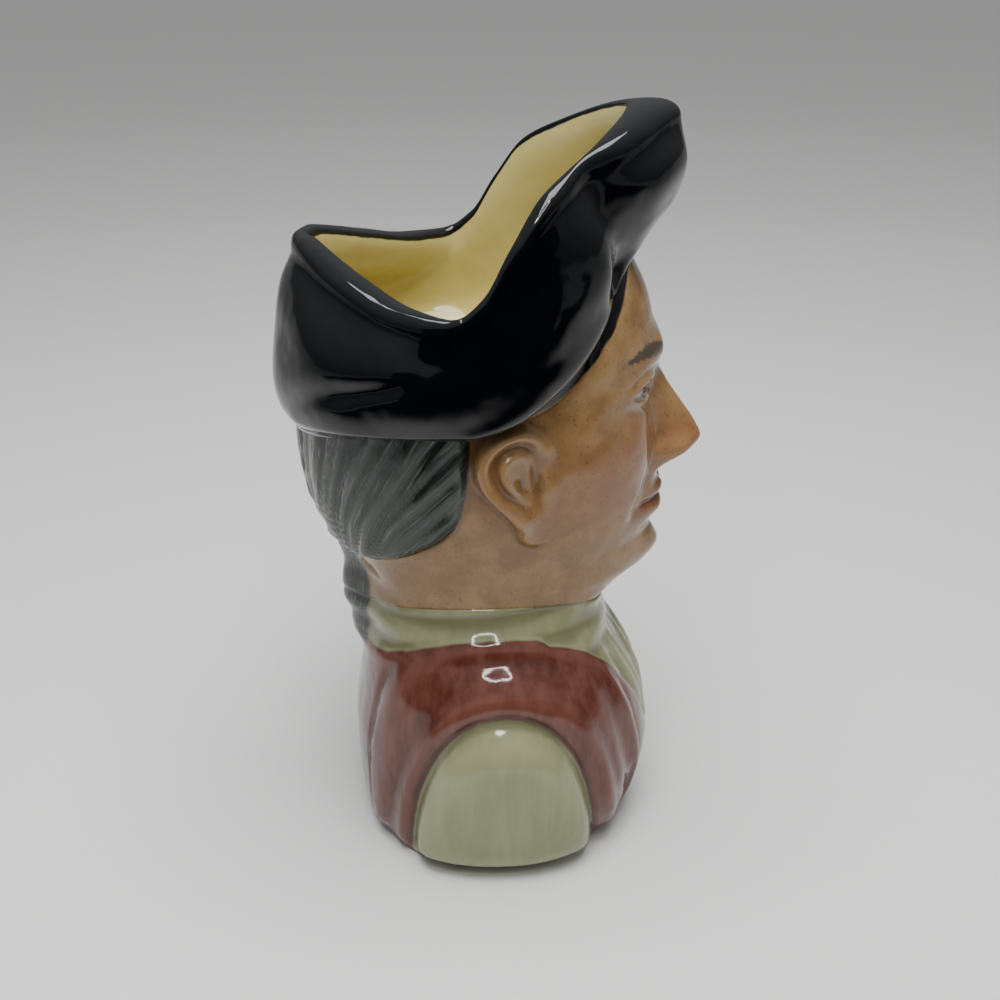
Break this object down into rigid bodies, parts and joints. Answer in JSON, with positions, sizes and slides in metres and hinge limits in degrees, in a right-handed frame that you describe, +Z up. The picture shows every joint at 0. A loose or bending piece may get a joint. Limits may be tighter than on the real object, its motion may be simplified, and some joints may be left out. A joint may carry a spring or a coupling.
{
  "type": "character jug",
  "caption": "Glazed earthenware jug cast as the head and shoulders of a man in a cocked hat, open at the brim, with a loop handle at the side.",
  "frame": {"origin": "middle of the flat underside, on the surface the jug stands on", "axes": "+Z up; the figure looks along -Y; its right side is -X, and the handle is on +X"},
  "size_m": [0.1217, 0.1023, 0.1796],
  "materials": {
    "glazed_earthenware": "painted earthenware under a clear gloss glaze: black hat and handle, tan skin, grey hair, brick coat, pale green neckcloth and sleeve ends, pale yellow inside"
  },
  "bodies": {
    "root": {"jug": "glazed_earthenware"}
  },
  "joints": []
}
